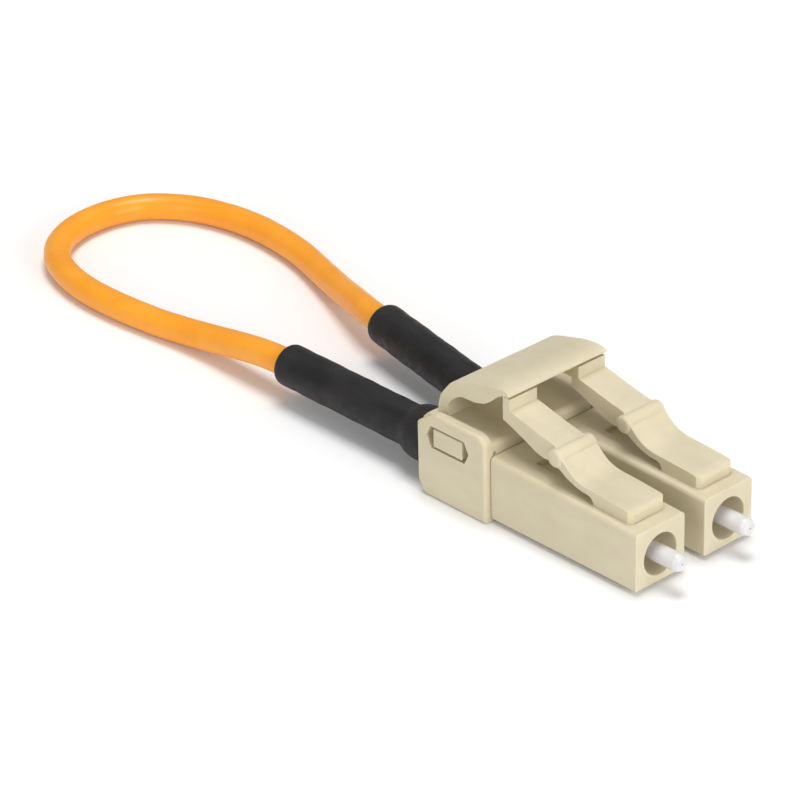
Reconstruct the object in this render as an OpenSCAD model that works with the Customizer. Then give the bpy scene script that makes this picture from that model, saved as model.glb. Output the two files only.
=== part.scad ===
// Duplex fibre loopback plug: two small-form-factor connectors held side by side
// in a duplex clip with a shared trigger, joined by one short loop of fibre cable.
// Frame: +X across the pair, -Y towards the ferrule tips, +Z up.
// The origin lies in the middle of the clip's flat bottom, which rests on z = 0.

/* [Pair] */
// Distance between the two ferrule axes
pitch = 6.25; // [5.9:0.05:7]
// Running and assembly gap between pieces
fit_gap = 0.03; // [0.02:0.01:0.06]

/* [Connector body] */
// Width of each connector body
body_w = 4.42; // [4.2:0.02:4.7]
// Height of the body at its front face
nose_h = 4.15; // [4:0.05:4.4]
// Height of the body where it enters the clip
body_h = 4.6; // [4.5:0.05:4.9]
// Front face to the clip's front edge
nose_len = 13.1; // [12.6:0.1:14]
// Radius of the body's long edges
body_edge_r = 0.34; // [0.1:0.02:0.5]
// Height of the ferrule axis above the body's bottom
axis_h = 1.95; // [1.85:0.05:2.1]
// Diameter of the mouth round the ferrule
mouth_d = 2.93; // [2.8:0.01:3]
// Depth of the mouth
mouth_depth = 2.3; // [1.8:0.1:2.6]
// Thickness of the ledge that stops the ferrule holder
ledge_t = 0.6; // [0.4:0.05:0.9]
// Hole in the ledge that the ferrule passes through
ledge_hole_d = 2.4; // [2.3:0.05:2.45]
// Diameter of the chamber behind the ledge
chamber_d = 2.84; // [2.8:0.02:2.9]
// How far the waist inside the clip steps in from the body's sides and bottom
waist_in = 0.3; // [0.2:0.02:0.36]
// Length of the housing's waist inside the clip
waist_len = 1.5; // [1.2:0.1:2]

/* [Latch] */
// Width of the latch at its root and neck
neck_w = 3.2; // [3:0.05:3.4]
// Width of the latch across its shoulders
shoulder_w = 3.45; // [3.4:0.05:3.9]
// Width of the latch arm behind the shoulders
arm_w = 2.45; // [2.1:0.05:2.8]
// Front face to the front of the latch root
root_y = 1.07; // [0.9:0.05:1.4]
// Height of the root above the body's bottom
root_top = 5.12; // [5:0.02:5.3]
// Bevel on the root's front corners
root_bevel = 0.4; // [0.2:0.05:0.6]
// Front face to the line where the latch bends
bend_y = 4.9; // [4.7:0.05:5.2]
// Height of the bend line above the body's bottom
bend_z = 5.1; // [5.05:0.01:5.16]
// Thickness of the latch where it bends
neck_t = 0.42; // [0.36:0.01:0.48]
// Diameter of the rounded shoulders that lock in the port
shoulder_d = 1.26; // [1.1:0.02:1.4]
// Front face to the middle of the shoulders
shoulder_y = 7.78; // [7.6:0.02:8]
// Height of the middle of the shoulders above the body's bottom
shoulder_z = 6.33; // [6.2:0.02:6.5]
// Clip's front edge to the front of the hook at the end of the arm
hook_back = 0.88; // [0.8:0.02:1.1]
// Length of the hook along the arm
hook_len = 0.65; // [0.55:0.05:0.7]
// Height of the hook's top above the body's bottom
hook_top = 8.74; // [8.5:0.02:8.78]

/* [Duplex clip] */
// Length of the clip along the connectors
clip_len = 6.45; // [6.3:0.05:7]
// How far the clip stands out beyond the bodies' sides
clip_proud = 0.465; // [0.4:0.005:0.6]
// How far the clip stands out below the bodies
clip_drop = 0.3; // [0.3:0.02:0.36]
// Height of the clip's top plate above the bodies' bottom
plate_top = 5.45; // [5.4:0.05:5.6]
// Height of the clip's side walls above the bodies' bottom
wall_top = 6; // [5.8:0.05:6.3]
// Thickness of the side walls where they stand above the plate
wall_t = 0.75; // [0.5:0.05:0.85]
// Height of the step where the channels rise over the rear bodies
channel_rise = 0.15; // [0.1:0.05:0.2]
// Length of the six-sided windows in the side walls
window_len = 3.95; // [3.5:0.05:4.2]
// Height of the windows
window_h = 1.62; // [1.5:0.02:1.7]
// Clip's front edge to the middle of the windows
window_y = 3.5; // [3.3:0.05:3.6]
// Height of the middle of the windows above the bodies' bottom
window_z = 4.3; // [4.2:0.02:4.4]
// Diameter of the bead along the plate's front edge
bead_d = 0.8; // [0.6:0.02:0.84]

/* [Trigger] */
// Width of the trigger across both latches
trigger_w = 8.9; // [8.6:0.05:9.6]
// Diameter of the trigger's rounded root, and thickness of its upright
trigger_root_d = 0.95; // [0.8:0.05:1.1]
// Clip's front edge to the trigger's bend line
trigger_y = 5.27; // [5.1:0.02:5.4]
// Height of the trigger's bend line above the plate
trigger_z = 0.15; // [0.1:0.01:0.2]

/* [Ferrule and spring] */
// Diameter of the ceramic ferrule
ferrule_d = 1.249; // [1.2:0.001:1.3]
// Length of the ferrule
ferrule_len = 6.5; // [6:0.1:7]
// Diameter of the ferrule's turned-down seat in its holder
ferrule_seat_d = 0.9; // [0.85:0.01:0.92]
// How far the ferrule's tip stands in front of the body
ferrule_out = 1.9; // [1.7:0.1:2.2]
// Bevel round the ferrule's tip
ferrule_bevel = 0.16; // [0.08:0.02:0.24]
// Travel of the ferrule against its spring
ferrule_travel = 1; // [0.6:0.1:1.2]
// Length of the holder's head
holder_head_len = 1.3; // [1:0.1:1.6]
// Length of the holder's tail
holder_tail_len = 2.6; // [2:0.1:2.8]
// Diameter of the holder's tail
holder_tail_d = 1.5; // [1.4:0.05:1.6]
// Mean diameter of the spring's coils
spring_d = 2.04; // [2:0.02:2.12]
// Diameter of the spring wire
wire_d = 0.26; // [0.2:0.02:0.3]
// Number of turns in the spring
spring_turns = 7; // [5:1:9]

/* [Rear body and boot] */
// Length of the rear body's nose inside the housing
plug_len = 5.5; // [4.5:0.1:6]
// Diameter of the rear body's fibre passage
passage_d = 1.1; // [1:0.05:1.3]
// How far the rear body stops short of the clip's rear edge
rear_short = 0.5; // [0.3:0.05:0.8]
// Diameter of the crimp post
post_d = 2; // [1.9:0.02:2.1]
// Length of the crimp post
post_len = 2.4; // [2:0.1:2.8]
// How far the crimp post and the boot stand above the ferrule's axis
post_rise = 0.3; // [0:0.05:0.35]
// Wall of the crimp sleeve
sleeve_t = 0.22; // [0.15:0.01:0.26]
// Length of the crimp sleeve
sleeve_len = 2.6; // [2.2:0.1:2.9]
// Diameter of the buffered fibre
fibre_d = 0.9; // [0.8:0.05:0.95]
// Diameter of the boot's bulge next to the clip
bulge_d = 3.86; // [3.6:0.02:4]
// Length of the bulge
bulge_len = 3.1; // [3:0.1:4]
// Diameter of the boot behind the bulge
boot_d = 3.06; // [2.9:0.02:3.2]
// Length of each boot along its axis
boot_len = 15.7; // [14:0.1:18]
// Radius in which a bent boot turns
boot_bend_r = 10; // [10:0.5:20]
// Rounding of the boot's rear rim
boot_rim = 0.3; // [0.1:0.05:0.4]
// How far the right boot is bent outwards, in degrees
right_bend = 11.5; // [6:0.5:14]

/* [Cable] */
// Diameter of the cable
cable_d = 2; // [1.8:0.05:2.05]

/* [Hidden] */
$fn = 48;
hull_fn = 32;
join = 0.01;                                    // lets joined shapes of one piece share a sliver

body_lift = clip_drop;                          // body bottoms above the clip's bottom
front_y = -(nose_len + clip_len / 2);           // front faces of the bodies
clip_front = nose_len;                          // in the connector's frame, from here on
clip_rear = nose_len + clip_len;
body_end = clip_front - fit_gap;
waist_end = clip_front + waist_len;
waist_w = body_w - 2 * waist_in;
rear_start = waist_end + fit_gap;
rear_end = clip_rear - rear_short;
rear_h = body_h + channel_rise;
ledge_rear = mouth_depth + ledge_t;
hook_y = clip_front - hook_back;
plug_start = waist_end - plug_len;
bend_end = bend_y + neck_t / 2 + fit_gap;       // where the root's round seat ends

clip_half = pitch / 2 + body_w / 2 + clip_proud;
lug_out = body_w / 2 + clip_proud;              // lugs end flush with the clip's sides
lug_len = 0.68 * window_len;
lug_h = window_h - 0.3;
window_flat = 0.8 * window_len;                 // straight part of the windows

holder_head_d = chamber_d - 0.12;               // slides in the chamber with 0.06 all round
holder_front = ledge_rear + fit_gap;
holder_rear = holder_front + holder_head_len;
socket_gap = 0.01;                              // glue line round ferrule in its holder
ferrule_rear = ferrule_len - ferrule_out;
fibre_start = holder_rear + holder_tail_len + ferrule_travel + 0.1;
tail_bore_d = ferrule_seat_d + 2 * socket_gap;

tail_h = axis_h + post_rise;                    // height of the post and boot axis
post_end = rear_end + post_len;
cable_start = post_end + 0.1;                   // jacket ends just behind the post
sleeve_start = rear_end + fit_gap;
boot_start = clip_rear + fit_gap;
boot_bore_d = cable_d + 0.16;
sleeve_bore_d = post_d + 2 * fit_gap;
sleeve_out_d = sleeve_bore_d + 2 * sleeve_t;
boot_seat_d = sleeve_out_d + 2 * fit_gap;
boot_straight = sleeve_start + sleeve_len + 2 * fit_gap - boot_start;

trigger_line_y = clip_front + trigger_y;
trigger_line_z = plate_top + trigger_z;

beige = [0.80, 0.78, 0.66];
off_white = [0.93, 0.93, 0.90];
steel = [0.70, 0.70, 0.72];
black = [0.07, 0.07, 0.07];
orange = [0.98, 0.52, 0.05];
pale_blue = [0.80, 0.86, 0.90];

// The cable's route, from inside the left boot round the loop into the right boot.
ROUTE = [
    [-3.13, 5.6, 2.55], [-3.13, 9, 2.55], [-3.13, 12.5, 2.55], [-3.13, 16, 2.55],
    [-3.13, 19.2, 2.55], [-3.13, 21.7, 2.4], [-3.1, 24.3, 2], [-3.1, 27.1, 1.5],
    [-3.3, 30, 1.15], [-3.7, 33.2, 1], [-4, 36.5, 1], [-4, 39.8, 1],
    [-3.5, 42.8, 1], [-2.4, 45.6, 1], [-0.5, 47.7, 1], [2.2, 49, 1],
    [5.2, 49.1, 1], [7.9, 47.9, 1], [10, 45.4, 1], [11.1, 42.4, 1],
    [11.5, 39.2, 1], [11.3, 36, 1], [10.7, 32.8, 1], [9.6, 29.5, 1.15],
    [8.4, 26.4, 1.5], [7.3, 23.7, 2], [6.3, 21.2, 2.4], [5.69, 19, 2.55],
    [4.95, 15.4, 2.55], [4.2, 11.7, 2.55], [3.46, 8, 2.55], [3.19, 6.6, 2.55],
    [3.13, 5.4, 2.55]
];
CABLE_SIDES = 8;

// ---------- frames and shared shapes ----------

// Puts a shape from the connector's frame in its place: side is -1 on the left, 1 on the right.
module at_connector(side) {
    translate([side * pitch / 2, front_y, body_lift])
        children();
}

// Puts a shape from the clip's frame in its place.
module at_clip() {
    translate([0, front_y, body_lift])
        children();
}

// Turns a profile drawn as (distance from the axis, distance along it) about an axis at height h.
module about_axis(start = 0, h = axis_h) {
    translate([0, start, h])
        rotate([-90, 0, 0])
            rotate_extrude()
                children();
}

// A round bar from y0 to y1 along an axis at height h.
module axis_rod(d, y0, y1, h = axis_h) {
    translate([0, y0, h])
        rotate([-90, 0, 0])
            cylinder(d = d, h = y1 - y0);
}

// A round bar that climbs from the ferrule axis at fibre_start to the post's axis at cable_start.
module climbing_rod(d, before, after) {
    run = cable_start - fibre_start;
    translate([0, fibre_start, axis_h])
        rotate([atan2(post_rise, run), 0, 0])
            rotate([-90, 0, 0])
                translate([0, 0, -before])
                    cylinder(d = d, h = norm([run, post_rise]) + before + after);
}

// Extrudes a side view, drawn as (y, z), to the width w, centred on x = 0.
module side_slab(w) {
    translate([-w / 2, 0, 0])
        rotate([90, 0, 90])
            linear_extrude(w)
                children();
}

// A thin slice of the body's cross-section, with rounded long edges.
module body_slice(y, h) {
    for (x = [-1, 1], top = [0, 1])
        translate([x * (body_w / 2 - body_edge_r), y, top ? h - body_edge_r : body_edge_r])
            rotate([-90, 0, 0])
                cylinder(r = body_edge_r, h = join, $fn = hull_fn);
}

// ---------- connector ----------

// Side view of the latch root, whose rear end is a round seat for the arm.
module root_side() {
    difference() {
        polygon([
            [root_y + 0.1, nose_h - 0.5], [root_y, nose_h + 0.55], [root_y + 0.3, root_top - 0.05],
            [root_y + 0.7, root_top], [bend_y - 0.4, bend_z + neck_t / 2],
            [bend_y, bend_z + neck_t / 2], [bend_y, bend_z - neck_t / 2],
            [bend_y - 0.35, bend_z - neck_t / 2 - 0.1], [bend_y - 0.62, nose_h + 0.12],
            [bend_y - 0.7, nose_h - 0.5]
        ]);
        translate([bend_y, bend_z])
            circle(r = neck_t / 2 + fit_gap);
    }
}

module latch_root() {
    difference() {
        side_slab(neck_w)
            root_side();
        for (x = [-1, 1])
            translate([x * neck_w / 2, root_y, 0])
                rotate([0, 0, 45])
                    cube([root_bevel, root_bevel, 4 * body_h], center = true);
    }
}

module housing(side) {
    color(beige)
        at_connector(side)
            difference() {
                union() {
                    hull() {
                        body_slice(0, nose_h);
                        body_slice(body_end - join, body_h);
                    }
                    translate([-waist_w / 2, body_end - join, waist_in])
                        cube([waist_w, waist_end - body_end + join, body_h - 0.05 - waist_in]);
                    latch_root();
                }
                axis_rod(mouth_d, -1, mouth_depth);
                axis_rod(ledge_hole_d, 0, ledge_rear + 1);
                axis_rod(chamber_d, ledge_rear, waist_end + 1);
            }
}

// Side view of the moving latch: bent neck, locking shoulders, arm and hook.
module latch_side() {
    rise = neck_t / 2;
    polygon([
        [bend_y, bend_z - rise + 0.02], [bend_y + 0.5, bend_z - rise + 0.03],
        [shoulder_y - 1, shoulder_z - 0.98], [shoulder_y - 0.3, shoulder_z - 0.56],
        [shoulder_y + 1.3, shoulder_z - 0.62], [hook_y - 1.1, shoulder_z + 0.1],
        [hook_y + hook_len - 0.5, hook_top - 1.83], [hook_y + hook_len, hook_top - 1.66],
        [hook_y + hook_len, hook_top - 0.3], [hook_y + hook_len - 0.15, hook_top - 0.05],
        [hook_y + hook_len - 0.3, hook_top], [hook_y + 0.1, hook_top], [hook_y, hook_top - 0.1],
        [hook_y, hook_top - 0.84], [shoulder_y + 0.5, shoulder_z + 0.62],
        [shoulder_y - 0.15, shoulder_z + 0.42], [shoulder_y - 0.75, shoulder_z - 0.1],
        [shoulder_y - 1.45, shoulder_z - 0.62], [bend_y + 0.7, bend_z + rise + 0.1],
        [bend_y, bend_z + rise - 0.02]
    ]);
}

// Plan view of the moving latch: wide neck, then the narrower arm.
module latch_plan() {
    polygon([
        [-neck_w / 2, bend_y - 1], [neck_w / 2, bend_y - 1],
        [neck_w / 2, shoulder_y - 0.3], [arm_w / 2, shoulder_y + 0.4],
        [arm_w / 2, hook_y + hook_len], [-arm_w / 2, hook_y + hook_len],
        [-arm_w / 2, shoulder_y + 0.4], [-neck_w / 2, shoulder_y - 0.3]
    ]);
}

module latch(side) {
    color(beige)
        at_connector(side) {
            intersection() {
                union() {
                    side_slab(neck_w + 1)
                        latch_side();
                    translate([0, bend_y, bend_z])
                        rotate([0, 90, 0])
                            cylinder(d = neck_t, h = neck_w + 1, center = true);
                }
                linear_extrude(2 * hook_top)
                    latch_plan();
            }
            translate([0, shoulder_y, shoulder_z])
                rotate([0, 90, 0])
                    cylinder(d = shoulder_d, h = shoulder_w, center = true);
        }
}

module ferrule(side) {
    color(off_white)
        at_connector(side)
            about_axis(-ferrule_out)
                polygon([
                    [0, 0], [ferrule_d / 2 - ferrule_bevel, 0], [ferrule_d / 2, ferrule_bevel],
                    [ferrule_d / 2, ferrule_out + holder_front],
                    [ferrule_seat_d / 2, ferrule_out + holder_front],
                    [ferrule_seat_d / 2, ferrule_len], [0, ferrule_len]
                ]);
}

// Metal holder: a collar that rests on the ledge, and a tail that guides the spring.
module ferrule_holder(side) {
    color(steel)
        at_connector(side)
            difference() {
                union() {
                    axis_rod(holder_head_d, holder_front, holder_rear);
                    axis_rod(holder_tail_d, holder_rear - join, holder_rear + holder_tail_len);
                }
                axis_rod(tail_bore_d, 0, holder_rear + holder_tail_len + 1);
                for (turn = [0:90:270])
                    translate([0, holder_front - join, axis_h])
                        rotate([0, turn, 0])
                            translate([-0.15, 0, holder_head_d / 2 - 0.2])
                                cube([0.3, 0.7, 1]);
            }
}

function coil_point(turn, r) = [r * cos(360 * turn), r * sin(360 * turn)];

// One ring of the wire at a share s of the spring's length.
function wire_ring(s, len, steps) = [
    for (k = [0:steps - 1])
        let (
            turn = s * spring_turns,
            r = spring_d / 2 + wire_d / 2 * cos(360 * k / steps),
            p = coil_point(turn, r)
        )
        [p[0], wire_d / 2 + s * (len - wire_d) + wire_d / 2 * sin(360 * k / steps), p[1]]
];

// A tube's faces between rings of the same number of points, with both ends closed.
function tube_faces(rings, sides) = concat(
    [[for (k = [sides - 1:-1:0]) k]],
    [
        for (i = [0:rings - 2], k = [0:sides - 1])
            [i * sides + k, i * sides + (k + 1) % sides,
             (i + 1) * sides + (k + 1) % sides, (i + 1) * sides + k]
    ],
    [[for (k = [0:sides - 1]) (rings - 1) * sides + k]]
);

module spring(side) {
    steps_per_turn = 14;
    wire_sides = 6;
    count = spring_turns * steps_per_turn;
    len = plug_start - holder_rear - 2 * fit_gap;
    points = [for (i = [0:count]) each wire_ring(i / count, len, wire_sides)];
    color(steel)
        at_connector(side)
            translate([0, holder_rear + fit_gap, axis_h])
                polyhedron(points, tube_faces(count + 1, wire_sides));
}

// Block with locking lugs, a nose that closes the housing, and a grooved crimp post.
module rear_body(side) {
    color(beige)
        at_connector(side)
            difference() {
                union() {
                    axis_rod(chamber_d - 2 * fit_gap, plug_start, rear_start + join);
                    translate([-waist_w / 2, rear_start, waist_in])
                        cube([waist_w, rear_end - rear_start, rear_h - waist_in]);
                    translate([-lug_out, clip_front + window_y - lug_len / 2, window_z - lug_h / 2])
                        cube([2 * lug_out, lug_len, lug_h]);
                    axis_rod(post_d, rear_end - join, post_end, tail_h);
                }
                climbing_rod(passage_d, 5, 5);
                for (i = [0:2])
                    translate([0, rear_end + 0.6 + 0.6 * i, tail_h])
                        rotate([-90, 0, 0])
                            difference() {
                                cylinder(d = post_d + 1, h = 0.25);
                                translate([0, 0, -1])
                                    cylinder(d = post_d - 0.2, h = 3);
                            }
            }
}

module crimp_sleeve(side) {
    color(steel)
        at_connector(side)
            difference() {
                axis_rod(sleeve_out_d, sleeve_start, sleeve_start + sleeve_len, tail_h);
                axis_rod(sleeve_bore_d, sleeve_start - 1, sleeve_start + sleeve_len + 1, tail_h);
            }
}

module fibre(side) {
    color(pale_blue)
        at_connector(side)
            climbing_rod(fibre_d, 0, 0);
}

// A rod that follows the boot's axis: round the bend, then straight to the boot's end.
module boot_rod(side, bend, d, arc_d, rim = 0, over = 0) {
    turned = boot_bend_r * bend * PI / 180;
    rest = boot_len - boot_straight - turned + over;
    facing = side > 0 ? 0 : 180;
    if (bend > 0)
        translate([side * boot_bend_r, boot_start + boot_straight, tail_h])
            rotate([0, facing, 0])
                rotate([0, 0, 180 - bend])
                    rotate_extrude(angle = bend)
                        translate([boot_bend_r, 0])
                            circle(d = arc_d);
    translate([side * boot_bend_r * (1 - cos(bend)),
               boot_start + boot_straight + boot_bend_r * sin(bend), tail_h])
        rotate([0, 0, -side * bend])
            rotate([-90, 0, 0])
                translate([0, 0, -0.1])
                    rotate_extrude()
                        polygon([
                            [0, 0], [d / 2, 0], [d / 2, rest + 0.1 - rim],
                            [d / 2 - 0.3 * rim, rest + 0.1 - 0.3 * rim],
                            [d / 2 - rim, rest + 0.1], [0, rest + 0.1]
                        ]);
}

module boot(side, bend) {
    half = boot_d / 2;
    color(black)
        at_connector(side)
            difference() {
                union() {
                    about_axis(boot_start, tail_h)
                        polygon([
                            [0, 0], [bulge_d / 2 - 0.1, 0], [bulge_d / 2, 0.15],
                            [bulge_d / 2, bulge_len - 0.9], [bulge_d / 2 - 0.15, bulge_len - 0.3],
                            [half + 0.02, bulge_len], [0, bulge_len]
                        ]);
                    axis_rod(boot_d, boot_start + 0.5, boot_start + boot_straight + 0.1, tail_h);
                    boot_rod(side, bend, boot_d, boot_d - 0.08, boot_rim);
                }
                axis_rod(boot_seat_d, boot_start - 1, boot_start + boot_straight + 0.1, tail_h);
                boot_rod(side, bend, boot_bore_d, boot_bore_d + 0.08, over = 1);
            }
}

// ---------- shared pieces ----------

// Side view of the clip's side wall, with its bevelled rear corners.
module wall_side() {
    polygon([
        [clip_front, 0.7 - clip_drop - 0.7], [clip_front, wall_top - 0.75],
        [clip_front + 0.25, wall_top - 0.2], [clip_front + 0.7, wall_top],
        [clip_rear - 1.65, wall_top], [clip_rear, wall_top - 1.05],
        [clip_rear, 0.65 - clip_drop + 0.3], [clip_rear - 0.65, -clip_drop]
    ]);
}

// Side view of the clip between its walls: a plate with a rounded bead along its front.
module plate_side() {
    polygon([
        [clip_front, -clip_drop], [clip_front, plate_top - bead_d / 2],
        [clip_front + bead_d / 2, plate_top], [clip_rear - 0.4, plate_top],
        [clip_rear, plate_top - 0.4], [clip_rear, 0.65 - clip_drop + 0.3],
        [clip_rear - 0.65, -clip_drop]
    ]);
    translate([clip_front + bead_d / 2, plate_top - bead_d / 2])
        circle(d = bead_d);
}

// The channel that one connector sits in, from front to rear.
module clip_channel() {
    w = waist_w + 2 * fit_gap;
    low = waist_in - fit_gap;
    translate([-w / 2, clip_front - 1, low])
        cube([w, clip_len + 2, body_h - 0.05 + fit_gap - low]);
    translate([-w / 2, waist_end - fit_gap, low])
        cube([w, clip_len, rear_h + fit_gap - low]);
}

module window_side() {
    half_len = window_len / 2;
    half_flat = window_flat / 2;
    half_h = window_h / 2;
    translate([clip_front + window_y, window_z])
        polygon([
            [-half_len, 0], [-half_flat, half_h], [half_flat, half_h],
            [half_len, 0], [half_flat, -half_h], [-half_flat, -half_h]
        ]);
}

module duplex_clip() {
    color(beige)
        at_clip()
            difference() {
                union() {
                    side_slab(2 * (clip_half - wall_t) + join)
                        plate_side();
                    for (x = [-1, 1])
                        translate([x * (clip_half - wall_t / 2), 0, 0])
                            side_slab(wall_t)
                                wall_side();
                }
                for (x = [-1, 1])
                    translate([x * pitch / 2, 0, 0])
                        clip_channel();
                side_slab(2 * clip_half + 2)
                    window_side();
                translate([0, trigger_line_y, trigger_line_z])
                    rotate([0, 90, 0])
                        cylinder(d = trigger_root_d + 2 * fit_gap, h = trigger_w + 0.2, center = true);
            }
}

// Side view of the trigger: an upright on the clip's rear, and a wedge over the latch hooks.
module trigger_side() {
    half = trigger_root_d / 2;
    y = trigger_line_y;
    z = trigger_line_z;
    polygon([
        [y - half + 0.03, z], [y - half + 0.03, z + 0.71], [y - half - 0.38, z + 1.16],
        [y - 1.6, z + 1.69], [y - 2.9, z + 1.77], [y - 3.7, z + 1.96], [y - 4.25, z + 2.25],
        [y - 4.72, z + 2.65], [y - 5.1, z + 3.01], [y - 5.5, z + 3.22], [y - 6.14, z + 3.27],
        [y - 6.18, z + 3.37], [y - 6.03, z + 3.52], [y - 5.57, z + 3.67], [y - 4.67, z + 3.63],
        [y - 3.27, z + 3.33], [y - 1.17, z + 2.71], [y - 0.41, z + 2.01],
        [y + half - 0.2, z + 1.11], [y + half - 0.03, z + 0.31], [y + half - 0.03, z]
    ]);
}

module trigger() {
    color(beige)
        at_clip()
            union() {
                side_slab(trigger_w)
                    trigger_side();
                translate([0, trigger_line_y, trigger_line_z])
                    rotate([0, 90, 0])
                        cylinder(d = trigger_root_d, h = trigger_w, center = true);
            }
}

function unit(v) = v / norm(v);

// One ring round the cable at point i of the route.
function cable_ring(i) =
    let (
        last = len(ROUTE) - 1,
        t = unit(ROUTE[min(i + 1, last)] - ROUTE[max(i - 1, 0)]),
        across = unit(cross(t, [0, 0, 1])),
        up = cross(across, t)
    )
    [
        for (k = [0:CABLE_SIDES - 1])
            ROUTE[i] + cable_d / 2 * (cos(360 * k / CABLE_SIDES) * across
                                      + sin(360 * k / CABLE_SIDES) * up)
    ];

module cable_jacket() {
    points = [for (i = [0:len(ROUTE) - 1]) each cable_ring(i)];
    color(orange)
        polyhedron(points, tube_faces(len(ROUTE), CABLE_SIDES));
}

// ---------- nodes ----------

housing(-1);  // left_housing
latch(-1);  // left_latch
ferrule(-1);  // left_ferrule
ferrule_holder(-1);  // left_ferrule_holder
spring(-1);  // left_spring
rear_body(-1);  // left_rear_body
crimp_sleeve(-1);  // left_crimp_sleeve
fibre(-1);  // left_fibre
boot(-1, 0);  // left_boot
housing(1);  // right_housing
latch(1);  // right_latch
ferrule(1);  // right_ferrule
ferrule_holder(1);  // right_ferrule_holder
spring(1);  // right_spring
rear_body(1);  // right_rear_body
crimp_sleeve(1);  // right_crimp_sleeve
fibre(1);  // right_fibre
boot(1, right_bend);  // right_boot
duplex_clip();
trigger();
cable_jacket();
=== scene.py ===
"""Duplex fibre loopback plug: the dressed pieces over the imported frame.

Shapes are worked in millimetres and brought to metres as each piece is finished.
A connector's own frame has y = 0 on its front face, z = 0 on its bottom and x = 0 in its middle.
"""
import math

import bmesh
import bpy
from mathutils import Matrix, Vector


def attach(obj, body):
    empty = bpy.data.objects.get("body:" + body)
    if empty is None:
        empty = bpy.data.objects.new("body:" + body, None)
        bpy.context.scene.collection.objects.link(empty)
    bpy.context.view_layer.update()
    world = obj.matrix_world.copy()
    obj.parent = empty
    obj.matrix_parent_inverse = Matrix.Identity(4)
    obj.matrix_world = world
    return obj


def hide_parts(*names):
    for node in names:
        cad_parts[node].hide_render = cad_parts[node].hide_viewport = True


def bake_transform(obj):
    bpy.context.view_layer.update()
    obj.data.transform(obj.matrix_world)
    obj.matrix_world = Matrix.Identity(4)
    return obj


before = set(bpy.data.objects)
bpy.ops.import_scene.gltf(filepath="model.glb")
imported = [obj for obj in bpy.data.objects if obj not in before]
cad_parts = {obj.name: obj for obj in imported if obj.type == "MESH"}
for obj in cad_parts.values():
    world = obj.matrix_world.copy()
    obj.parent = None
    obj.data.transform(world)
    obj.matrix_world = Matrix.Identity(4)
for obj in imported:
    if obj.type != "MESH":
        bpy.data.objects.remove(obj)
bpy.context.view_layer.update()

MM = 0.001

scene = bpy.context.scene
scene.view_settings.view_transform = "Standard"

# Sizes of the pieces, in millimetres. FRONT_FACE_Y and BODY_LIFT place a connector's own frame
# in the part, and every y and z after them is measured in that frame.
PITCH = 6.25
FRONT_FACE_Y = -16.325
BODY_LIFT = 0.3
BODY_WIDTH = 4.42
FERRULE_HEIGHT = 1.95
FERRULE_RADIUS = 0.6245
MOUTH_RADIUS = 1.465
LEDGE_HOLE_RADIUS = 1.2
CHAMBER_RADIUS = 1.42
WAIST_HALF = 1.91
CLIP_HALF = 5.8
CLIP_BOTTOM = -0.3
CLIP_WALL = 0.75
CLIP_FRONT = 13.1
CLIP_REAR = 19.55
PLATE_TOP = 5.45
WALL_TOP = 6.0
CHANNEL_HALF = 1.94
BEAD_RADIUS = 0.4
POST_RADIUS = 1.0
FIBRE_BORE_RADIUS = 0.55
BOOT_HEIGHT = 2.25
TRIGGER_WIDTH = 8.9
TRIGGER_BEND = (18.37, 5.6)
SIDES = {"left": -1, "right": 1}

# ---------------------------------------------------------------------------
# Camera, light and floor
# ---------------------------------------------------------------------------


def place_camera():
    """The camera fitted to the photograph's view."""
    azimuth, elevation, roll = math.radians(-42.235), math.radians(28.599), math.radians(-1.478)
    back = Vector((math.sin(azimuth) * math.cos(elevation), -math.cos(azimuth) * math.cos(elevation),
                   math.sin(elevation)))
    level = Vector((math.cos(azimuth), math.sin(azimuth), 0.0))
    upright = back.cross(level)
    right = level * math.cos(roll) + upright * math.sin(roll)
    up = upright * math.cos(roll) - level * math.sin(roll)
    distance, leftward, upward = 241.764, 18.720, 10.314
    aim = Vector((0.0, FRONT_FACE_Y, BODY_LIFT))
    spot = back * distance - right * leftward + up * upward + aim
    lens = bpy.data.cameras.new("studio_camera")
    lens.lens = 171.0
    lens.sensor_width = 36.0
    lens.clip_start = 0.01
    lens.clip_end = 20.0
    camera = bpy.data.objects.new("studio_camera", lens)
    scene.collection.objects.link(camera)
    turn = Matrix((right, up, back)).transposed().to_4x4()
    camera.matrix_world = Matrix.Translation(spot * MM) @ turn
    scene.camera = camera


def soft_lamp(name, at, aim, size, power):
    """A round area light; its places and size are in metres."""
    data = bpy.data.lights.new(name, "AREA")
    data.shape = "DISK"
    data.size = size
    data.energy = power
    lamp = bpy.data.objects.new(name, data)
    lamp.location = at
    lamp.rotation_euler = (Vector(aim) - Vector(at)).to_track_quat("-Z", "Y").to_euler()
    scene.collection.objects.link(lamp)


def studio_world():
    """Plain white to the camera, and a dimmer white light on the object."""
    world = bpy.data.worlds.new("studio_world")
    world.use_nodes = True
    nodes = world.node_tree.nodes
    link = world.node_tree.links.new
    nodes.clear()
    out = nodes.new("ShaderNodeOutputWorld")
    ambient = nodes.new("ShaderNodeBackground")
    ambient.inputs["Color"].default_value = (1.0, 1.0, 1.0, 1.0)
    ambient.inputs["Strength"].default_value = 0.36
    seen = nodes.new("ShaderNodeBackground")
    seen.inputs["Color"].default_value = (1.0, 1.0, 1.0, 1.0)
    seen.inputs["Strength"].default_value = 1.0
    rays = nodes.new("ShaderNodeLightPath")
    choice = nodes.new("ShaderNodeMixShader")
    link(rays.outputs["Is Camera Ray"], choice.inputs["Fac"])
    link(ambient.outputs["Background"], choice.inputs[1])
    link(seen.outputs["Background"], choice.inputs[2])
    link(choice.outputs["Shader"], out.inputs["Surface"])
    scene.world = world


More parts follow.
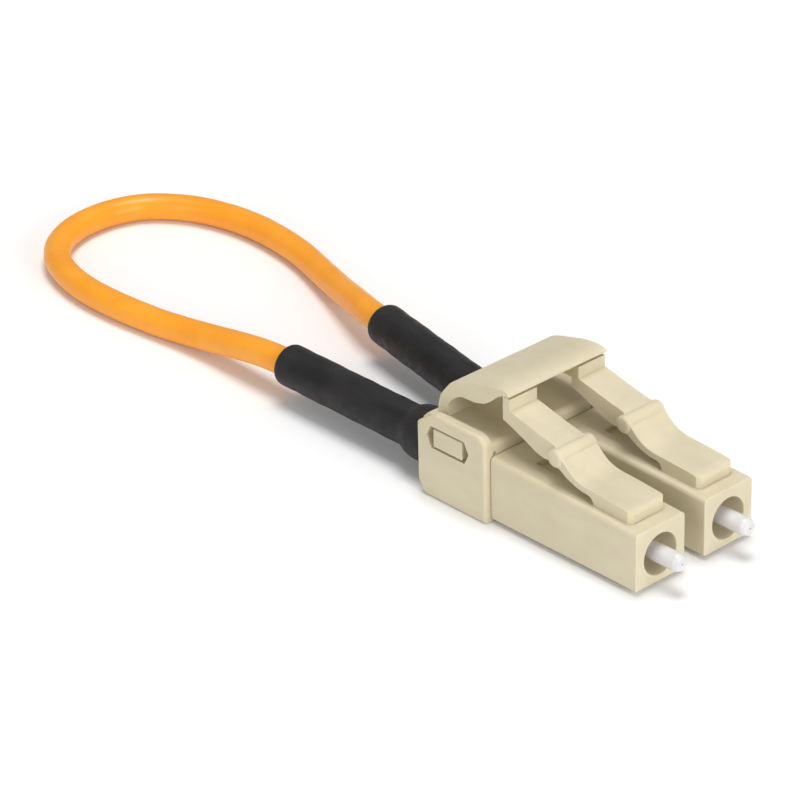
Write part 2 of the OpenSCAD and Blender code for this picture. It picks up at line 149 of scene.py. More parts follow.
place_camera()
studio_world()
soft_lamp("key_softbox", (0.02, 0.02, 0.32), (0.0, 0.0, 0.0), 0.17, 0.60)
soft_lamp("front_fill", (-0.03, -0.31, 0.10), (0.0, -0.01, 0.0), 0.18, 0.56)
soft_lamp("side_fill", (-0.30, -0.04, 0.12), (0.0, 0.0, 0.0), 0.22, 0.22)

# ---------------------------------------------------------------------------
# Finishes
# ---------------------------------------------------------------------------


class Finish:
    """A material on Object coordinates, with its pattern nodes added as they are needed."""

    def __init__(self, name, colour, roughness, metallic=0.0, specular=0.5):
        self.material = bpy.data.materials.new(name)
        self.material.use_nodes = True
        self.nodes = self.material.node_tree.nodes
        self.link = self.material.node_tree.links.new
        self.surface = self.nodes["Principled BSDF"]
        self.surface.inputs["Base Color"].default_value = (*colour, 1.0)
        self.surface.inputs["Roughness"].default_value = roughness
        self.surface.inputs["Metallic"].default_value = metallic
        self.surface.inputs["Specular IOR Level"].default_value = specular
        self.place = self.nodes.new("ShaderNodeTexCoord").outputs["Object"]

    def set(self, **values):
        for socket, value in values.items():
            self.surface.inputs[socket.replace("_", " ")].default_value = value
        return self

    def noise(self, scale, detail=3.0, roughness=0.5, stretch=(1.0, 1.0, 1.0)):
        """Noise with cells about 1/scale metres across; a stretch under 1 draws them out."""
        frame_of = self.nodes.new("ShaderNodeMapping")
        frame_of.inputs["Scale"].default_value = stretch
        self.link(self.place, frame_of.inputs["Vector"])
        noise = self.nodes.new("ShaderNodeTexNoise")
        noise.inputs["Scale"].default_value = scale
        noise.inputs["Detail"].default_value = detail
        noise.inputs["Roughness"].default_value = roughness
        self.link(frame_of.outputs["Vector"], noise.inputs["Vector"])
        return noise.outputs["Fac"]

    def between(self, pattern, low, high, low_at=0.35, high_at=0.65):
        """The pattern mapped to a value range."""
        span = self.nodes.new("ShaderNodeMapRange")
        span.inputs["From Min"].default_value = low_at
        span.inputs["From Max"].default_value = high_at
        span.inputs["To Min"].default_value = low
        span.inputs["To Max"].default_value = high
        self.link(pattern, span.inputs["Value"])
        return span.outputs["Result"]

    def tint(self, pattern, dark, light):
        """The base colour drifts between two colours with the pattern."""
        mix = self.nodes.new("ShaderNodeMix")
        mix.data_type = "RGBA"
        mix.inputs[6].default_value = (*dark, 1.0)
        mix.inputs[7].default_value = (*light, 1.0)
        self.link(self.between(pattern, 0.0, 1.0), mix.inputs[0])
        self.link(mix.outputs[2], self.surface.inputs["Base Color"])
        return self

    def gloss(self, pattern, low, high):
        self.link(self.between(pattern, low, high), self.surface.inputs["Roughness"])
        return self

    def bumps(self, *layers):
        """Each layer is (pattern, depth in metres)."""
        normal = None
        for pattern, depth in layers:
            bump = self.nodes.new("ShaderNodeBump")
            bump.inputs["Strength"].default_value = 1.0
            bump.inputs["Distance"].default_value = depth
            self.link(pattern, bump.inputs["Height"])
            if normal:
                self.link(normal, bump.inputs["Normal"])
            normal = bump.outputs["Normal"]
        self.link(normal, self.surface.inputs["Normal"])
        return self


def moulded_plastic(name, dark, light):
    finish = Finish(name, light, 0.42, specular=0.45)
    flow = finish.noise(450.0, 4.0, 0.6, (1.0, 0.45, 1.0))
    grain = finish.noise(14000.0, 2.0, 0.6)
    finish.tint(flow, dark, light)
    finish.gloss(finish.noise(2200.0, 3.0), 0.36, 0.5)
    finish.bumps((flow, 0.000012), (grain, 0.0000016))
    finish.set(Subsurface_Weight=0.18, Subsurface_Scale=0.0010)
    finish.surface.inputs["Subsurface Radius"].default_value = (1.0, 0.75, 0.35)
    return finish.material


def zirconia(name):
    finish = Finish(name, (0.74, 0.725, 0.72), 0.2, specular=0.5)
    grind = finish.noise(9000.0, 2.0, 0.6, (1.0, 0.25, 1.0))
    finish.tint(finish.noise(1500.0), (0.66, 0.645, 0.645), (0.71, 0.695, 0.69))
    finish.gloss(grind, 0.12, 0.22)
    finish.bumps((grind, 0.0000006))
    return finish.material


def turned_metal(name, dark, light, rough):
    finish = Finish(name, light, rough, metallic=1.0)
    rings = finish.noise(1600.0, 4.0, 0.7, (0.2, 12.0, 0.2))
    finish.tint(rings, dark, light)
    finish.gloss(rings, rough - 0.06, rough + 0.1)
    finish.bumps((rings, 0.000004))
    return finish.material


def shrunk_rubber(name):
    finish = Finish(name, (0.020, 0.018, 0.018), 0.5, specular=0.22)
    skin = finish.noise(700.0, 4.0, 0.55, (1.0, 0.4, 1.0))
    pores = finish.noise(9000.0, 2.0, 0.6)
    finish.tint(skin, (0.015, 0.014, 0.014), (0.026, 0.024, 0.024))
    finish.gloss(finish.noise(1800.0, 3.0), 0.44, 0.58)
    finish.bumps((skin, 0.00006), (pores, 0.000003))
    return finish.material


def cable_sheath(name):
    finish = Finish(name, (0.96, 0.39, 0.035), 0.36, specular=0.45)
    ripple = finish.noise(380.0, 3.0, 0.5)
    fine = finish.noise(6500.0, 2.0, 0.5)
    finish.tint(ripple, (0.93, 0.345, 0.014), (0.97, 0.385, 0.022))
    finish.gloss(finish.noise(1500.0, 3.0), 0.32, 0.44)
    finish.bumps((ripple, 0.00003), (fine, 0.0000014))
    finish.set(Subsurface_Weight=0.08, Subsurface_Scale=0.0005)
    finish.surface.inputs["Subsurface Radius"].default_value = (1.0, 0.5, 0.2)
    return finish.material


def clear_buffer(name):
    finish = Finish(name, (0.62, 0.72, 0.84), 0.3)
    streak = finish.noise(1200.0, 3.0, 0.5, (1.0, 0.1, 1.0))
    finish.tint(streak, (0.56, 0.67, 0.80), (0.66, 0.76, 0.87))
    finish.gloss(streak, 0.25, 0.38)
    finish.bumps((streak, 0.000003))
    return finish.material


def floor_paper(name):
    """White paper: it keeps the shadow, and looks plain white elsewhere."""
    finish = Finish(name, (0.94, 0.94, 0.94), 0.9, specular=0.1)
    fibres = finish.noise(900.0, 3.0)
    finish.gloss(fibres, 0.88, 0.95)
    glow = finish.nodes.new("ShaderNodeEmission")
    glow.inputs["Color"].default_value = (1.0, 1.0, 1.0, 1.0)
    away = finish.nodes.new("ShaderNodeVectorMath")
    away.operation = "DISTANCE"
    away.inputs[1].default_value = (0.0, 0.012, 0.0)
    finish.link(finish.place, away.inputs[0])
    fade = finish.between(away.outputs["Value"], 0.02, 0.95, 0.035, 0.16)
    rays = finish.nodes.new("ShaderNodeLightPath")
    reach = finish.nodes.new("ShaderNodeMath")
    reach.operation = "MULTIPLY"
    finish.link(rays.outputs["Is Camera Ray"], reach.inputs[0])
    finish.link(fade, reach.inputs[1])
    finish.link(reach.outputs[0], glow.inputs["Strength"])
    both = finish.nodes.new("ShaderNodeAddShader")
    finish.link(finish.surface.outputs["BSDF"], both.inputs[0])
    finish.link(glow.outputs["Emission"], both.inputs[1])
    finish.link(both.outputs["Shader"], finish.nodes["Material Output"].inputs["Surface"])
    return finish.material


BEIGE = moulded_plastic("beige_moulding", (0.615, 0.545, 0.380), (0.665, 0.595, 0.422))
CERAMIC = zirconia("ferrule_ceramic")
CORE = Finish("fibre_core", (0.25, 0.28, 0.32), 0.1).material
NICKEL = turned_metal("nickel_plate", (0.62, 0.60, 0.55), (0.74, 0.71, 0.66), 0.26)
WIRE = turned_metal("spring_wire", (0.55, 0.55, 0.56), (0.68, 0.68, 0.70), 0.24)
SLEEVE = turned_metal("sleeve_aluminium", (0.70, 0.70, 0.71), (0.80, 0.80, 0.81), 0.34)
BUFFER = clear_buffer("fibre_buffer")
RUBBER = shrunk_rubber("boot_rubber")
ORANGE = cable_sheath("cable_orange")

# ---------------------------------------------------------------------------
# Mesh helpers, in millimetres
# ---------------------------------------------------------------------------


def flowing(points, steps=5):
    """A smooth line through (y, z) points, with steps between each two."""
    padded = [points[0]] + list(points) + [points[-1]]
    line = []
    for before, start, end, after in zip(padded, padded[1:], padded[2:], padded[3:]):
        for step in range(steps):
            t = step / steps
            line.append(tuple(
                0.5 * (2 * s + (e - b) * t + (2 * b - 5 * s + 4 * e - a) * t * t
                       + (3 * s - b - 3 * e + a) * t ** 3)
                for b, s, e, a in zip(before, start, end, after)))
    line.append(tuple(points[-1]))
    return line


def side_block(outline, width, middle=0.0):
    """A side view of (y, z) points, extruded across x."""
    bm = bmesh.new()
    ring = [bm.verts.new((middle - width / 2, y, z)) for y, z in outline]
    grown = bmesh.ops.extrude_face_region(bm, geom=[bm.faces.new(ring)])
    moved = [part for part in grown["geom"] if isinstance(part, bmesh.types.BMVert)]
    bmesh.ops.translate(bm, verts=moved, vec=(width, 0.0, 0.0))
    bmesh.ops.recalc_face_normals(bm, faces=bm.faces)
    return bm


def plan_block(outline, low, high):
    """A plan view of (x, y) points, extruded up."""
    bm = bmesh.new()
    ring = [bm.verts.new((x, y, low)) for x, y in outline]
    grown = bmesh.ops.extrude_face_region(bm, geom=[bm.faces.new(ring)])
    moved = [part for part in grown["geom"] if isinstance(part, bmesh.types.BMVert)]
    bmesh.ops.translate(bm, verts=moved, vec=(0.0, 0.0, high - low))
    bmesh.ops.recalc_face_normals(bm, faces=bm.faces)
    return bm


def box(low, high):
    bm = bmesh.new()
    bmesh.ops.create_cube(bm, size=1.0)
    size = [b - a for a, b in zip(low, high)]
    middle = [(a + b) / 2 for a, b in zip(low, high)]
    bmesh.ops.scale(bm, vec=size, verts=bm.verts)
    bmesh.ops.translate(bm, vec=middle, verts=bm.verts)
    return bm


def bar_along_y(radius, start, end, height, segments=96, middle=0.0):
    bm = bmesh.new()
    bmesh.ops.create_cone(bm, cap_ends=True, segments=segments, radius1=radius, radius2=radius,
                          depth=end - start)
    bmesh.ops.rotate(bm, verts=bm.verts, matrix=Matrix.Rotation(math.radians(-90), 3, "X"))
    bmesh.ops.translate(bm, verts=bm.verts, vec=(middle, (start + end) / 2, height))
    return bm


def bar_along_x(radius, width, y, z, segments=64):
    bm = bmesh.new()
    bmesh.ops.create_cone(bm, cap_ends=True, segments=segments, radius1=radius, radius2=radius,
                          depth=width)
    bmesh.ops.rotate(bm, verts=bm.verts, matrix=Matrix.Rotation(math.radians(90), 3, "Y"))
    bmesh.ops.translate(bm, verts=bm.verts, vec=(0.0, y, z))
    return bm


def turned(profile, height, segments=96, middle=0.0):
    """A closed (radius, y) profile turned about an axis along y."""
    bm = bmesh.new()
    line = [bm.verts.new((r, y, 0.0)) for r, y in profile]
    edges = [bm.edges.new(pair) for pair in zip(line, line[1:])]
    bmesh.ops.spin(bm, geom=line + edges, cent=(0.0, 0.0, 0.0), axis=(0.0, 1.0, 0.0),
                   angle=math.tau, steps=segments, use_merge=True)
    bmesh.ops.remove_doubles(bm, verts=bm.verts, dist=1e-4)
    bmesh.ops.recalc_face_normals(bm, faces=bm.faces)
    bmesh.ops.translate(bm, verts=bm.verts, vec=(middle, 0.0, height))
    return bm


def soften(bm, radius, segments, chosen):
    """Rounds the edges that chosen(edge) picks."""
    picked = [edge for edge in bm.edges if chosen(edge)]
    bmesh.ops.bevel(bm, geom=picked, offset=radius, offset_type="OFFSET", segments=segments,
                    profile=0.5, affect="EDGES", clamp_overlap=True, material=-1)
    return bm


def bench_object(bm):
    mesh = bpy.data.meshes.new("bench")
    bm.to_mesh(mesh)
    bm.free()
    item = bpy.data.objects.new("bench", mesh)
    scene.collection.objects.link(item)
    return item


def shaped(bm, tools=(), edge=None, segments=2, angle=32.0):
    """The shape after its boolean tools, each (operation, bmesh), and an edge rounding."""
    host = bench_object(bm)
    extra = []
    for operation, tool in tools:
        item = bench_object(tool)
        extra.append(item)
        step = host.modifiers.new("cut", "BOOLEAN")
        step.operation = operation
        step.solver = "EXACT"
        step.object = item
    if edge:
        rounding = host.modifiers.new("rounding", "BEVEL")
        rounding.width = edge
        rounding.segments = segments
        rounding.limit_method = "ANGLE"
        rounding.angle_limit = math.radians(angle)
        rounding.profile = 0.5
        rounding.use_clamp_overlap = True
    graph = bpy.context.evaluated_depsgraph_get()
    mesh = bpy.data.meshes.new_from_object(host.evaluated_get(graph))
    result = bmesh.new()
    result.from_mesh(mesh)
    bpy.data.meshes.remove(mesh)
    for item in extra + [host]:
        old = item.data
        bpy.data.objects.remove(item)
        bpy.data.meshes.remove(old)
    return result


def joined(*shapes):
    """Several shapes as one bmesh."""
    whole = bmesh.new()
    for shape in shapes:
        mesh = bpy.data.meshes.new("bench")
        shape.to_mesh(mesh)
        shape.free()
        whole.from_mesh(mesh)
        bpy.data.meshes.remove(mesh)
    return whole


def finished(bm, name, material, middle=0.0, at_connector=True, smooth=35.0, weighted=True):
    """The piece itself: moved to its place, brought to metres and shaded."""
    if at_connector:
        bmesh.ops.translate(bm, verts=bm.verts, vec=(middle, FRONT_FACE_Y, BODY_LIFT))
    bmesh.ops.scale(bm, verts=bm.verts, vec=(MM, MM, MM))
    mesh = bpy.data.meshes.new(name)
    bm.to_mesh(mesh)
    bm.free()
    piece = bpy.data.objects.new(name, mesh)
    scene.collection.objects.link(piece)
    mesh.materials.append(material)
    mesh.shade_smooth()
    mesh.set_sharp_from_angle(angle=math.radians(smooth))
    if weighted:
        even = piece.modifiers.new("even_shading", "WEIGHTED_NORMAL")
        even.keep_sharp = True
        even.weight = 80
    return piece


# ---------------------------------------------------------------------------
# Floor
# ---------------------------------------------------------------------------


FLOOR_SIZE = 4000.0
FLOOR_GAP = 0.02


def lay_floor():
    """One flat sheet, just below the part so that the two don't share a plane."""
    bm = bmesh.new()
    bmesh.ops.create_grid(bm, x_segments=1, y_segments=1, size=FLOOR_SIZE)
    bmesh.ops.translate(bm, verts=bm.verts, vec=(0.0, 0.0, -FLOOR_GAP))
    paper = floor_paper("floor_paper")
    floor = finished(bm, "studio_floor", paper, at_connector=False, weighted=False)


lay_floor()

# ---------------------------------------------------------------------------
# Cable
# ---------------------------------------------------------------------------

CABLE_DIAMETER = 2.0
CABLE_ROUTE = [
    (-3.13, 5.6, 2.55), (-3.13, 9.0, 2.55), (-3.13, 12.5, 2.55), (-3.13, 16.0, 2.55),
    (-3.13, 19.2, 2.55), (-3.13, 21.7, 2.4), (-3.1, 24.3, 2.0), (-3.1, 27.1, 1.5),
    (-3.3, 30.0, 1.15), (-3.7, 33.2, 1.0), (-4.0, 36.5, 1.0), (-4.0, 39.8, 1.0),
    (-3.5, 42.8, 1.0), (-2.4, 45.6, 1.0), (-0.5, 47.7, 1.0), (2.2, 48.89, 1.0),
    (5.2, 48.97, 1.0), (7.9, 47.9, 1.0), (10.0, 45.4, 1.0), (11.1, 42.4, 1.0),
    (11.49, 39.2, 1.0), (11.3, 36.0, 1.0), (10.7, 32.8, 1.0), (9.6, 29.5, 1.15),
    (8.4, 26.4, 1.5), (7.3, 23.7, 2.0), (6.3, 21.2, 2.4), (5.69, 19.0, 2.55),
    (4.95, 15.4, 2.55), (4.2, 11.7, 2.55), (3.46, 8.0, 2.55), (3.19, 6.6, 2.55),
    (3.13, 5.4, 2.55),
]


def lay_cable():
    """A round cable through the route's points, kept flat where it lies on the floor."""
    curve = bpy.data.curves.new("loop_cable", "CURVE")
    curve.dimensions = "3D"
    curve.bevel_depth = CABLE_DIAMETER / 2 * MM
    curve.bevel_resolution = 12
    curve.resolution_u = 8
    curve.use_fill_caps = True
    line = curve.splines.new("BEZIER")
    line.bezier_points.add(len(CABLE_ROUTE) - 1)
    spots = [Vector(spot) for spot in CABLE_ROUTE]
    for knot, before, spot, after in zip(line.bezier_points, spots[:1] + spots, spots,
                                         spots[1:] + spots[-1:]):
        reach = (after - before) / 6
        if spot.z <= CABLE_DIAMETER / 2:
            reach.z = 0.0
        knot.handle_left_type = knot.handle_right_type = "FREE"
        knot.co = spot * MM
        knot.handle_left = (spot - reach) * MM
        knot.handle_right = (spot + reach) * MM
    cable = bpy.data.objects.new("loop_cable", curve)
    scene.collection.objects.link(cable)
    curve.materials.append(ORANGE)
    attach(cable, "connector_bodies")
    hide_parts("cable_jacket")


lay_cable()

# ---------------------------------------------------------------------------
# Connectors
# ---------------------------------------------------------------------------


def housing_shape():
    """Tapered body with rounded long edges, a round mouth, a ledge and the chamber behind it."""
    body = side_block([(0.0, 0.0), (13.07, 0.0), (13.07, 4.6), (0.0, 4.15)], BODY_WIDTH)

    def long_edge(edge, top):
        a, b = (vert.co for vert in edge.verts)
        return abs(a.y - b.y) > 5.0 and (min(a.z, b.z) > 4.0) == top

    soften(body, 0.34, 5, lambda edge: long_edge(edge, True))
    soften(body, 0.14, 3, lambda edge: long_edge(edge, False) and abs(edge.verts[0].co.z) < 0.01)
    top_slot = box((-0.57, 5.3, 4.1), (0.57, 10.6, 5.0))
    tools = [
        ("DIFFERENCE", bar_along_y(MOUTH_RADIUS, -1.0, 2.3, FERRULE_HEIGHT)),
        ("DIFFERENCE", bar_along_y(LEDGE_HOLE_RADIUS, 1.5, 4.0, FERRULE_HEIGHT, 64)),
        ("DIFFERENCE", bar_along_y(CHAMBER_RADIUS, 2.9, 14.0, FERRULE_HEIGHT)),
        ("DIFFERENCE", top_slot),
    ]
    return shaped(body, tools, edge=0.07, segments=3)


def waist_shape():
    """The housing's stepped-in end inside the clip."""
    waist = box((-WAIST_HALF, 13.0, 0.3), (WAIST_HALF, 14.6, 4.55))
    chamber = bar_along_y(CHAMBER_RADIUS, 12.0, 16.0, FERRULE_HEIGHT)
    return shaped(waist, [("DIFFERENCE", chamber)], edge=0.05)


def latch_shape():
    """Root block, flexing neck, locking shoulders, arm and hook, moulded as one."""
    root_front = [(1.17, 3.9), (1.07, 4.7), (1.12, 4.88), (1.25, 5.0), (1.45, 5.08)]
    upper = flowing([(1.75, 5.12), (3.0, 5.21), (4.2, 5.28), (4.9, 5.31), (5.6, 5.42), (6.3, 5.72),
                     (7.0, 6.3), (7.6, 6.8), (8.28, 7.02), (9.3, 7.22)])
    hook = [(12.22, 7.9), (12.22, 8.74), (12.86, 8.74)]
    lower = flowing([(12.86, 7.09), (12.2, 6.87), (11.12, 6.43), (10.4, 6.12), (9.85, 5.87),
                     (9.1, 5.71), (8.45, 5.75), (7.48, 5.76), (6.8, 5.38), (6.1, 5.1), (5.4, 4.93),
                     (4.9, 4.89), (4.6, 4.78), (4.4, 4.5), (4.29, 4.2)])
    outline = root_front + upper + hook + lower + [(4.22, 3.9)]
    arm = side_block(outline, 3.6)
    plan = plan_block([(-1.22, 1.0), (1.22, 1.0), (1.6, 1.38), (1.6, 7.48), (1.225, 8.18),
                       (1.225, 13.5), (-1.225, 13.5), (-1.225, 8.18), (-1.6, 7.48), (-1.6, 1.38)],
                      3.0, 9.5)
    narrowed = shaped(arm, [("INTERSECT", plan)])
    shoulders = shaped(bar_along_x(0.63, 3.45, 7.78, 6.33), edge=0.24, segments=5)
    return shaped(narrowed, [("UNION", shoulders)], edge=0.11, segments=4, angle=38.0)


def ferrule_shape():
    """Ground ceramic rod with a rounded, bevelled tip."""
    tip = -1.9
    seat_start, rear = 2.93, 4.6
    profile = [(0.0, tip + 0.004), (0.2, tip + 0.007), (0.38, tip + 0.02), (0.46, tip + 0.05),
               (0.5, tip + 0.1), (0.6, tip + 0.3), (0.618, tip + 0.36), (FERRULE_RADIUS, tip + 0.44),
               (FERRULE_RADIUS, 1.0), (FERRULE_RADIUS, seat_start), (0.45, seat_start), (0.45, rear),
               (0.0, rear)]
    return turned(profile, FERRULE_HEIGHT, 72)


def fibre_core_shape():
    """The polished end of the glass fibre in the middle of the ferrule's tip."""
    return bar_along_y(0.0625, -1.898, -1.7, FERRULE_HEIGHT, 32)


SPRING_FRONT = 4.26
SPRING_REAR = 9.07
SPRING_TURNS = 7
COIL_RADIUS = 1.02
WIRE_RADIUS = 0.13


def spring_shape():
    """Round wire wound in even turns from the holder's collar to the rear body's nose."""
    steps = SPRING_TURNS * 36
    rise = (SPRING_REAR - SPRING_FRONT - 2 * WIRE_RADIUS) / steps
    bm = bmesh.new()
    disc = bmesh.ops.create_circle(bm, cap_ends=True, segments=12, radius=WIRE_RADIUS)
    bmesh.ops.rotate(bm, verts=bm.verts, matrix=Matrix.Rotation(math.radians(15), 3, "Z"))
    bmesh.ops.translate(bm, verts=disc["verts"], vec=(COIL_RADIUS, SPRING_FRONT + WIRE_RADIUS, 0.0))
    start = bmesh.ops.duplicate(bm, geom=bm.verts[:] + bm.edges[:] + bm.faces[:])
    moving = [part for part in start["geom"] if isinstance(part, bmesh.types.BMFace)]
    bmesh.ops.spin(bm, geom=moving, cent=(0.0, 0.0, 0.0), axis=(0.0, 1.0, 0.0), dvec=(0.0, rise, 0.0),
                   angle=math.tau * SPRING_TURNS, steps=steps, use_merge=False)
    bmesh.ops.remove_doubles(bm, verts=bm.verts, dist=1e-4)
    bmesh.ops.recalc_face_normals(bm, faces=bm.faces)
    bmesh.ops.translate(bm, verts=bm.verts, vec=(0.0, 0.0, FERRULE_HEIGHT))
    return bm


def climbing_bore(radius):
    """A bar along the fibre, which climbs from the ferrule's axis to the crimp post's."""
    rise, run = BOOT_HEIGHT - FERRULE_HEIGHT, 13.62
    bar = bar_along_y(radius, 2.9, 26.6, 0.0, 64)
    middle = Vector((0.0, 14.74, 0.0))
    turn = Matrix.Rotation(math.atan2(rise, run), 3, "X")
    bmesh.ops.rotate(bar, verts=bar.verts, cent=middle, matrix=turn)
    bmesh.ops.translate(bar, verts=bar.verts, vec=(0.0, 0.0, (FERRULE_HEIGHT + BOOT_HEIGHT) / 2))
    return bar


def rear_body_shape():
    """Block with two locking lugs, the nose that closes the housing, and a grooved crimp post."""
    block = shaped(box((-WAIST_HALF, 14.63, 0.3), (WAIST_HALF, 19.05, 4.75)), edge=0.14, segments=3)
    lugs = shaped(box((-2.675, 15.257, 3.64), (2.675, 17.943, 4.96)), edge=0.07, segments=3)
    post = [(0.0, 18.6), (POST_RADIUS, 18.6)]
    for groove in range(3):
        start = 19.65 + 0.6 * groove
        post += [(POST_RADIUS, start), (0.94, start + 0.04), (0.91, start + 0.08),
                 (0.91, start + 0.17), (0.94, start + 0.21), (POST_RADIUS, start + 0.25)]
    post += [(POST_RADIUS, 21.38), (0.93, 21.45), (0.0, 21.45)]
    nose = turned([(0.0, 9.1), (1.3, 9.1), (1.39, 9.19), (1.39, 14.7), (0.0, 14.7)], FERRULE_HEIGHT)
    tools = [("UNION", lugs), ("UNION", nose), ("UNION", turned(post, BOOT_HEIGHT)),
             ("DIFFERENCE", climbing_bore(FIBRE_BORE_RADIUS))]
    return shaped(block, tools)


BOOT_START = 19.58
BOOT_LENGTH = 15.7
BOOT_STRAIGHT = 2.16
BOOT_BEND_RADIUS = 10.0
BOOT_BEND = math.radians(11.5)
BOOT_BORE = 1.08
BOOT_SEAT = 1.28


def boot_shape(bent):
    """Bend boot: a bulge over the crimp, then a sleeve with a rounded rim, bored for the cable."""
    outer = [(1.74, 0.0), (1.83, 0.03), (1.9, 0.1), (1.93, 0.2), (1.93, 1.1), (1.925, 1.8),
             (1.9, 2.15), (1.82, 2.5), (1.7, 2.78), (1.6, 2.98), (1.545, 3.15)]
    end = BOOT_LENGTH
    along = 3.4
    while along < end - 0.5:
        shrink = 0.012 * math.sin(1.7 * along) + 0.008 * math.sin(3.9 * along + 1.0)
        outer.append((1.5 + shrink, along))
        along += 0.3
    outer += [(1.5, end - 0.34), (1.49, end - 0.2), (1.44, end - 0.08), (1.36, end - 0.02),
              (1.27, end), (1.2, end - 0.02), (1.13, end - 0.09), (1.09, end - 0.22)]
    inner = [(BOOT_BORE, end - 0.5 - 0.4 * step) for step in range(31)]
    inner += [(BOOT_BORE, 2.3), (BOOT_BORE, 2.2), (1.26, 2.16), (BOOT_SEAT, 2.1), (BOOT_SEAT, 1.2),
              (BOOT_SEAT, 0.12), (1.36, 0.02), (1.4, 0.0), (1.74, 0.0)]
    boot = turned(outer + inner, 0.0, 72)
    if bent:
        for vert in boot.verts:
            along = vert.co.y - BOOT_STRAIGHT
            turn = min(max(along / BOOT_BEND_RADIUS, 0.0), BOOT_BEND)
            rest = along - BOOT_BEND_RADIUS * turn
            out = BOOT_BEND_RADIUS * (1.0 - math.cos(turn)) + rest * math.sin(turn)
            ahead = BOOT_BEND_RADIUS * math.sin(turn) + rest * math.cos(turn)
            across = vert.co.x
            vert.co.x = out + across * math.cos(turn)
            vert.co.y = BOOT_STRAIGHT + ahead - across * math.sin(turn)
    bmesh.ops.translate(boot, verts=boot.verts, vec=(0.0, BOOT_START, BOOT_HEIGHT))
    return boot


def build_connector(side):
    """All of one connector's pieces; the latch arm and spring stay loose, the rest each on its body.
    """
    middle = SIDES[side] * PITCH / 2
    root = "connector_bodies"

    housing = finished(joined(housing_shape(), waist_shape()), f"{side}_body", BEIGE, middle)
    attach(housing, root)
    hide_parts(f"{side}_housing")

    latch = finished(latch_shape(), f"{side}_latch_arm", BEIGE, middle)
    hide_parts(f"{side}_latch")
    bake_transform(latch)

    ferrule = finished(ferrule_shape(), f"{side}_ferrule_rod", CERAMIC, middle)
    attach(ferrule, f"{side}_ferrule")
    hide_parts(f"{side}_ferrule")

    core = finished(fibre_core_shape(), f"{side}_fibre_core", CORE, middle)
    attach(core, f"{side}_ferrule")

    spring = finished(spring_shape(), f"{side}_coil_spring", WIRE, middle, weighted=False)
    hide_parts(f"{side}_spring")
    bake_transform(spring)

    rear = finished(rear_body_shape(), f"{side}_rear_block", BEIGE, middle)
    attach(rear, root)
    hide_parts(f"{side}_rear_body")

    boot = finished(boot_shape(side == "right"), f"{side}_bend_boot", RUBBER, middle, smooth=60.0)
    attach(boot, root)
    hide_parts(f"{side}_boot")


for side_name in SIDES:
    build_connector(side_name)

# ---------------------------------------------------------------------------
# Duplex clip and trigger
# ---------------------------------------------------------------------------


def wall_shape(side):
    """A side wall with bevelled rear corners, a rounded front corner and rounded outer edges."""
    outline = [(CLIP_FRONT, CLIP_BOTTOM), (CLIP_FRONT, 5.2), (13.13, 5.42), (13.21, 5.6),
               (13.35, 5.76), (13.55, 5.88), (13.82, WALL_TOP), (17.9, WALL_TOP),
               (CLIP_REAR, 4.95), (CLIP_REAR, 0.65), (18.9, CLIP_BOTTOM)]
    wall = side_block(outline, CLIP_WALL, side * (CLIP_HALF - CLIP_WALL / 2))
    soften(wall, 0.26, 5, lambda edge: all(abs(vert.co.x) > CLIP_HALF - 0.01 for vert in edge.verts))
    return shaped(wall, edge=0.09, segments=3, angle=25.0)


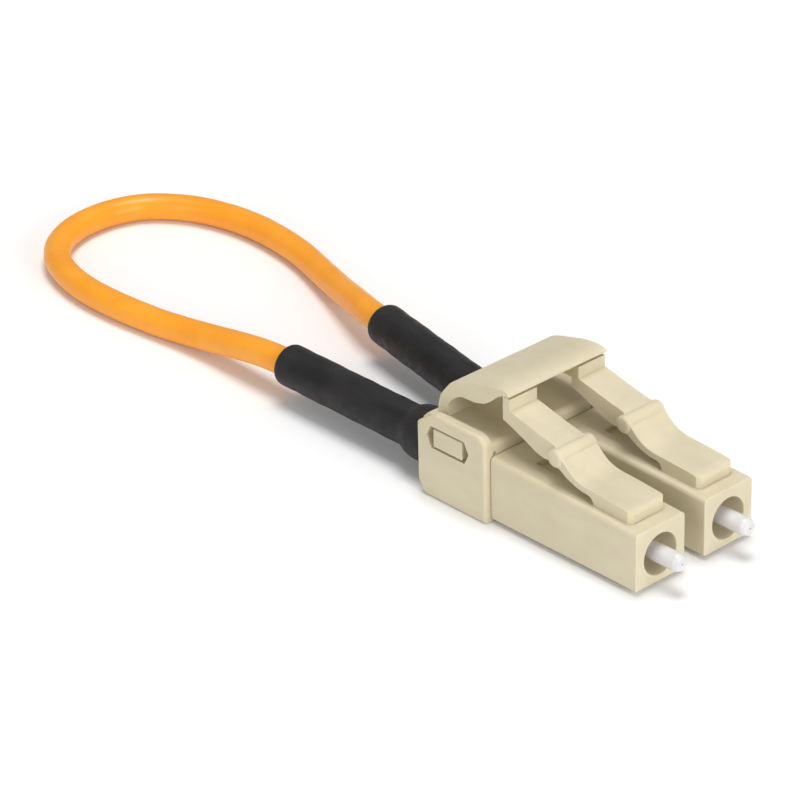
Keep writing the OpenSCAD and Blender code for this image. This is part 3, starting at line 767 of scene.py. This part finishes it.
def clip_shape():
    """Block between two walls, with a beaded plate, two stepped channels and six-sided windows."""
    turns = [math.radians(10 * step) for step in range(10)]
    bead = [(CLIP_FRONT + BEAD_RADIUS * (1.0 - math.cos(turn)),
             PLATE_TOP - BEAD_RADIUS * (1.0 - math.sin(turn))) for turn in turns]
    outline = [(CLIP_FRONT, CLIP_BOTTOM)] + bead + [
        (19.15, PLATE_TOP), (CLIP_REAR, 5.05), (CLIP_REAR, 0.65), (18.9, CLIP_BOTTOM)]
    block = side_block(outline, 2 * (CLIP_HALF - CLIP_WALL) + 0.1)
    tools = [("UNION", wall_shape(-1)), ("UNION", wall_shape(1))]
    for side in (-1, 1):
        middle = side * PITCH / 2
        for start, top in ((12.0, 4.58), (14.57, 4.78)):
            channel = box((middle - CHANNEL_HALF, start, 0.27), (middle + CHANNEL_HALF, 21.0, top))
            tools.append(("DIFFERENCE", channel))
        for offset in (-1.78, 0.92):
            relief = bar_along_y(0.14, 12.5, 13.45, 4.72, 24, middle + offset)
            tools.append(("DIFFERENCE", relief))
    window = [(14.625, 4.3), (15.02, 5.11), (18.18, 5.11), (18.575, 4.3), (18.18, 3.49), (15.02, 3.49)]
    tools.append(("DIFFERENCE", side_block(window, 14.0)))
    return shaped(block, tools, edge=0.035, segments=2, angle=40.0)


def trigger_shape():
    """Upright on the clip's rear that curls forward into a wave over the latch hooks."""
    y, z = TRIGGER_BEND
    belly = [(-0.62, -0.22), (-0.5, -0.1), (-0.455, 0.05), (-0.445, 0.35), (-0.5, 0.7),
             (-0.85, 1.16), (-1.6, 1.66), (-2.3, 1.76), (-2.9, 1.79), (-3.7, 1.97), (-4.25, 2.26),
             (-4.72, 2.65), (-5.1, 2.99), (-5.5, 3.2), (-5.9, 3.27)]
    nose = [(-6.1, 3.28), (-6.17, 3.35), (-6.13, 3.46), (-5.98, 3.56), (-5.57, 3.645)]
    crest = [(-5.2, 3.645), (-4.67, 3.61), (-3.95, 3.49), (-3.27, 3.32), (-2.2, 3.05), (-1.3, 2.74),
             (-0.75, 2.37), (-0.4, 1.97), (0.0, 1.48), (0.24, 1.1), (0.39, 0.6), (0.44, 0.3),
             (0.455, 0.05), (0.5, -0.1), (0.6, -0.22)]
    line = flowing(belly) + nose + flowing(crest)
    outline = [(y + a, z + b) for a, b in line]
    return shaped(side_block(outline, TRIGGER_WIDTH), edge=0.13, segments=4, angle=45.0)


clip = finished(clip_shape(), "clip_body", BEIGE)
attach(clip, "connector_bodies")
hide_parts("duplex_clip")

trigger = finished(trigger_shape(), "trigger_lever", BEIGE)
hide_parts("trigger")
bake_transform(trigger)

# ---------------------------------------------------------------------------
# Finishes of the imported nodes, the replaced ones included
# ---------------------------------------------------------------------------

CAD_FINISHES = {
    "housing": BEIGE, "latch": BEIGE, "rear_body": BEIGE, "clip": BEIGE, "trigger": BEIGE,
    "ferrule": CERAMIC, "ferrule_holder": NICKEL, "spring": WIRE, "crimp_sleeve": SLEEVE,
    "fibre": BUFFER, "boot": RUBBER, "jacket": ORANGE,
}
for node_name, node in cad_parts.items():
    finish = CAD_FINISHES[node_name.split("_", 1)[1] if "_" in node_name else node_name]
    for slot in node.material_slots:
        slot.material = finish
